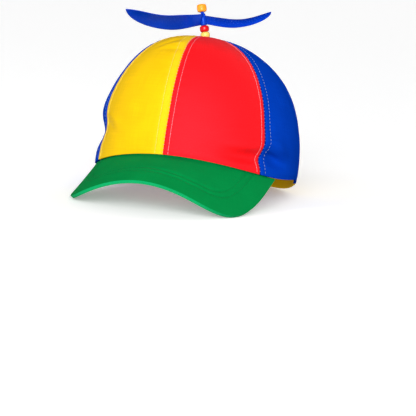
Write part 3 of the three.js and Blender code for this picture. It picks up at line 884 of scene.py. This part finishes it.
def sewing_thread(name, color):
    """Twisted thread, uneven along its length."""
    material, tree, surface = new_finish(name)
    place = tree.nodes.new("ShaderNodeTexCoord").outputs["Object"]
    uneven = soft_noise(tree, place, SEWING["uneven"], SEWING["uneven_detail"])
    share = range_map(tree, uneven, SEWING["uneven_span"], 0, 1)
    tint = blend_colors(tree, share, shade(color, SEWING["dark"]), shade(color, SEWING["light"]))
    tree.links.new(tint, surface.inputs["Base Color"])
    rough = range_map(tree, uneven, SEWING["rough_span"], SEWING["smoothest"], SEWING["roughest"])
    tree.links.new(rough, surface.inputs["Roughness"])
    surface.inputs["Specular IOR Level"].default_value = SEWING["gloss"]
    fibres = soft_noise(tree, place, SEWING["fibre"], SEWING["fibre_detail"])
    add_bump(tree, surface, fibres, SEWING)
    return material


def moulded_plastic(name, color, rough=0.2, gloss=0.3, gleam=WHITE, glow=0.0):
    """Glossy moulded plastic with flow marks, faint ripples and small scuffs."""
    material, tree, surface = new_finish(name)
    place = tree.nodes.new("ShaderNodeTexCoord").outputs["Object"]
    flow = soft_noise(tree, place, PLASTIC["flow"], PLASTIC["flow_detail"])
    share = range_map(tree, flow, PLASTIC["flow_span"], 0, 1)
    tint = blend_colors(tree, share, shade(color, PLASTIC["dark"]), shade(color, PLASTIC["light"]))
    tree.links.new(tint, surface.inputs["Base Color"])
    scuffs = soft_noise(tree, place, PLASTIC["scuff"], PLASTIC["scuff_detail"])
    smoothest, roughest = rough - PLASTIC["smoother"], rough + PLASTIC["rougher"]
    scuffed = range_map(tree, scuffs, PLASTIC["scuff_span"], smoothest, roughest)
    tree.links.new(scuffed, surface.inputs["Roughness"])
    surface.inputs["Specular IOR Level"].default_value = gloss
    surface.inputs["Specular Tint"].default_value = shade(gleam)
    if glow:
        surface.inputs["Subsurface Weight"].default_value = glow
        surface.inputs["Subsurface Radius"].default_value = PLASTIC["glow_radius"]
        surface.inputs["Subsurface Scale"].default_value = PLASTIC["glow_depth"] * MM
    ripples = soft_noise(tree, place, PLASTIC["ripple"], PLASTIC["ripple_detail"])
    add_bump(tree, surface, ripples, PLASTIC)
    return material


CLOTHS = {
    "yellow": cotton_twill(
        "yellow_twill", (0.81, 0.49, 0.002), gloss=0.13, gleam=(1, 0.95, 0.35), seam_color=(0.82, 0.56, 0.015)
    ),
    "red": cotton_twill("red_twill", (0.9, 0.003, 0.0045), gloss=0.28, gleam=(1, 0.62, 1)),
    # The blue cloth has painted shade down in its seams' valleys.
    "blue": cotton_twill("blue_twill", (0.001, 0.047, 0.46), gloss=0, gleam=(0.05, 0.5, 1), valley=0.95),
    "green": cotton_twill("green_twill", (0.001, 0.245, 0.053), gloss=0.01, gleam=(0.05, 1, 0.6)),
}
# The peak's rim is a paler green than its top: a painted highlight along the edge.
GREEN_RIM_PAINTED_HIGHLIGHT = cotton_twill("green_rim_painted_highlight", (0.006, 0.38, 0.12), gloss=0.06, gleam=(0.1, 1, 0.6))
THREADS = {
    "yellow": sewing_thread("cream_thread", (0.88, 0.64, 0.14)),
    "red": sewing_thread("pale_thread", (0.7, 0.27, 0.32)),
    "blue": sewing_thread("grey_thread", (0.24, 0.32, 0.5)),
    "green": sewing_thread("green_thread", (0.001, 0.155, 0.037)),
}
BLUE_PLASTIC = moulded_plastic("blue_plastic", (0.001, 0.038, 0.48), gloss=0.2, gleam=(0.25, 0.6, 1))
BEAD_PLASTICS = {
    "bead_yellow": moulded_plastic("yellow_bead", (0.9, 0.62, 0.14), glow=0.2),
    "bead_red": moulded_plastic("red_bead", (0.72, 0.008, 0.01), rough=0.14, glow=0.1),
    "bead_orange": moulded_plastic("orange_bead", (0.9, 0.32, 0.02), rough=0.16, glow=0.2),
}


# Pieces

def finished(name, solid, place, body, materials, stands_for=None):
    """A finished piece with its place in its mesh, riding on a body of the frame."""
    bmesh.ops.transform(solid, matrix=place, verts=solid.verts)
    mesh = bpy.data.meshes.new(name)
    solid.to_mesh(mesh)
    solid.free()
    mesh.polygons.foreach_set("use_smooth", [True] * len(mesh.polygons))
    for material in materials:
        mesh.materials.append(material)
    piece = bpy.data.objects.new(name, mesh)
    bpy.context.scene.collection.objects.link(piece)
    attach(piece, body)
    if stands_for:
        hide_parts(stands_for)
    return piece


def give_thickness(piece, thickness, edge_material=0):
    wall = piece.modifiers.new("wall", "SOLIDIFY")
    wall.thickness = thickness * MM
    wall.offset = -1
    wall.use_quality_normals = True
    wall.material_offset_rim = edge_material


def round_edges(piece, width, segments):
    edges = piece.modifiers.new("rounded_edges", "BEVEL")
    edges.width = width * MM
    edges.segments = segments
    edges.limit_method = "ANGLE"
    edges.angle_limit = math.radians(ROUNDING["sharp_angle"])
    edges.harden_normals = False


for panel in PANELS:
    cloth, widths = sewn_panel(panel)
    stitches = panel_stitches(panel, widths)
    node = panel["node"]
    piece = finished(f"{node}_cloth", cloth, CAP_TO_ROW, "cap", [CLOTHS[panel["cloth"]]], node)
    give_thickness(piece, CROWN["wall"])
    round_edges(piece, CROWN["edge_rounding"], CROWN["edge_segments"])
    sewing = finished(f"{node}_stitches", stitches, CAP_TO_ROW, "cap", [THREADS[panel["cloth"]]])

green_cloths = [CLOTHS["green"], GREEN_RIM_PAINTED_HIGHLIGHT]
peak = finished("covered_peak", covered_peak(), CAP_TO_ROW, "cap", green_cloths, "peak")
# The rim faces take the paler green, a painted highlight along the peak's edge.
give_thickness(peak, PEAK["thickness"], edge_material=1)
round_edges(peak, PEAK["edge_rounding"], PEAK["edge_segments"])
finished("peak_stitches", peak_stitches(), CAP_TO_ROW, "cap", [THREADS["green"]])

finished("rod_and_foot", rod_and_foot(), POST_TO_ROW, "cap", [BLUE_PLASTIC], "post")
for sizes in BEADS:
    node = sizes["node"]
    finished(f"{node}_turned", bead(sizes), POST_TO_ROW, "cap", [BEAD_PLASTICS[node]], node)

propeller = hub()
for sizes in BLADES:
    mesh = bpy.data.meshes.new("blade")
    wing = blade(sizes)
    wing.to_mesh(mesh)
    wing.free()
    propeller.from_mesh(mesh)
    bpy.data.meshes.remove(mesh)
place = POST_TO_ROW @ Matrix.Rotation(math.radians(BLADE["yaw"]), 4, "Z")
finished("hub_and_blades", propeller, place, "propeller", [BLUE_PLASTIC], "propeller")


# Floor, light and camera, in metres in the row frame

FLOOR = {"half_size": 12, "grey": 0.96, "rough": 0.9, "gloss": 0.1, "glow": 0.27}
# The walls' strength by height: at eye level and overhead, and in a band that fades out above the
# floor's end.
WALLS = {"level": 0.6, "overhead": 0.2, "overhead_span": (0, 0.9), "band": 1, "band_span": (0, 0.3)}
BROAD_LIGHTS = [
    {"name": "key", "toward": (0.17, -0.96, 0.24), "spread": 36, "strength": 3.45, "mirrored": True},
    {"name": "fill", "toward": (-0.5, -0.85, 0.2), "spread": 60, "strength": 0.3, "mirrored": True},
    {"name": "back", "toward": (0.25, 0.9, 0.3), "spread": 60, "strength": 1.4, "mirrored": False},
]
STRIP = {"target": (0, 0, 0.14), "width": 0.07, "length": 0.5, "power": 3}
STRIP_LIGHTS = [
    {"name": "left_strip", "place": (-0.75, -0.95, 0.75)},
    {"name": "right_strip", "place": (0.7, -0.95, 0.55)},
]


def pale_floor():
    ground = bmesh.new()
    bmesh.ops.create_grid(ground, x_segments=1, y_segments=1, size=FLOOR["half_size"])
    mesh = bpy.data.meshes.new("floor")
    ground.to_mesh(mesh)
    ground.free()
    floor = bpy.data.objects.new("floor", mesh)
    bpy.context.scene.collection.objects.link(floor)
    material, _, surface = new_finish("pale_floor")
    surface.inputs["Base Color"].default_value = shade(WHITE, FLOOR["grey"])
    surface.inputs["Roughness"].default_value = FLOOR["rough"]
    surface.inputs["Specular IOR Level"].default_value = FLOOR["gloss"]
    surface.inputs["Emission Color"].default_value = shade(WHITE)
    surface.inputs["Emission Strength"].default_value = FLOOR["glow"]
    mesh.materials.append(material)
    floor.visible_diffuse = False


def strip_light(sizes):
    """A narrow soft light, which shows as a streak on the plastic."""
    lamp = bpy.data.lights.new(sizes["name"], "AREA")
    lamp.shape = "RECTANGLE"
    lamp.size, lamp.size_y = STRIP["width"], STRIP["length"]
    lamp.energy = STRIP["power"]
    light = bpy.data.objects.new(sizes["name"], lamp)
    light.location = sizes["place"]
    aim = Vector(STRIP["target"]) - Vector(sizes["place"])
    light.rotation_euler = aim.to_track_quat("-Z", "Y").to_euler()
    bpy.context.scene.collection.objects.link(light)


def broad_light(sizes):
    """A wide even light from one direction, which leaves soft shadows and may show in glossy surfaces."""
    lamp = bpy.data.lights.new(sizes["name"], "SUN")
    lamp.angle = math.radians(sizes["spread"])
    lamp.energy = sizes["strength"]
    light = bpy.data.objects.new(sizes["name"], lamp)
    light.rotation_euler = Vector(sizes["toward"]).to_track_quat("Z", "Y").to_euler()
    light.visible_glossy = sizes["mirrored"]
    bpy.context.scene.collection.objects.link(light)


def photo_camera():
    bearing, height, roll = (math.radians(CAMERA[key]) for key in ("bearing", "height", "roll"))
    ahead = Vector((math.sin(bearing), -math.cos(bearing), 0))
    away = ahead * math.cos(height) + Vector((0, 0, math.sin(height)))
    level = Vector((math.cos(bearing), math.sin(bearing), 0))
    upright = away.cross(level)
    right = level * math.cos(roll) + upright * math.sin(roll)
    top = upright * math.cos(roll) - level * math.sin(roll)
    place = right * CAMERA["aside"] - top * CAMERA["below"] + away * CAMERA["distance"]
    lens = bpy.data.cameras.new("photo_camera")
    lens.lens, lens.sensor_width = CAMERA["lens"], CAMERA["sensor"]
    lens.clip_start, lens.clip_end = CAMERA["clip_start"], CAMERA["clip_end"]
    camera = bpy.data.objects.new("photo_camera", lens)
    pose = cap_turn.to_3x3() @ Matrix((right, top, away)).transposed()
    camera.matrix_world = Matrix.Translation(CAP_TO_ROW @ place) @ pose.to_4x4()
    bpy.context.scene.collection.objects.link(camera)
    bpy.context.scene.camera = camera


def studio_walls():
    """Soft light from all round, weaker from overhead and below, with a pale band where the floor ends."""
    world = bpy.data.worlds.new("studio")
    bpy.context.scene.world = world
    world.use_nodes = True
    tree = world.node_tree
    direction = tree.nodes.new("ShaderNodeSeparateXYZ")
    tree.links.new(tree.nodes.new("ShaderNodeTexCoord").outputs["Generated"], direction.inputs["Vector"])
    height = tree.nodes.new("ShaderNodeMath")
    height.operation = "ABSOLUTE"
    tree.links.new(direction.outputs["Z"], height.inputs[0])
    height = height.outputs["Value"]
    walls = range_map(tree, height, WALLS["overhead_span"], WALLS["level"], WALLS["overhead"])
    band = range_map(tree, height, WALLS["band_span"], WALLS["band"], 0)
    brighter = tree.nodes.new("ShaderNodeMath")
    brighter.operation = "MAXIMUM"
    tree.links.new(walls, brighter.inputs[0])
    tree.links.new(band, brighter.inputs[1])
    tree.links.new(brighter.outputs["Value"], tree.nodes["Background"].inputs["Strength"])
    tree.nodes["Background"].inputs["Color"].default_value = shade(WHITE)
    world.cycles_visibility.glossy = False


pale_floor()
studio_walls()
for sizes in BROAD_LIGHTS:
    broad_light(sizes)
for sizes in STRIP_LIGHTS:
    strip_light(sizes)
bpy.context.scene.view_settings.view_transform = "Standard"
photo_camera()
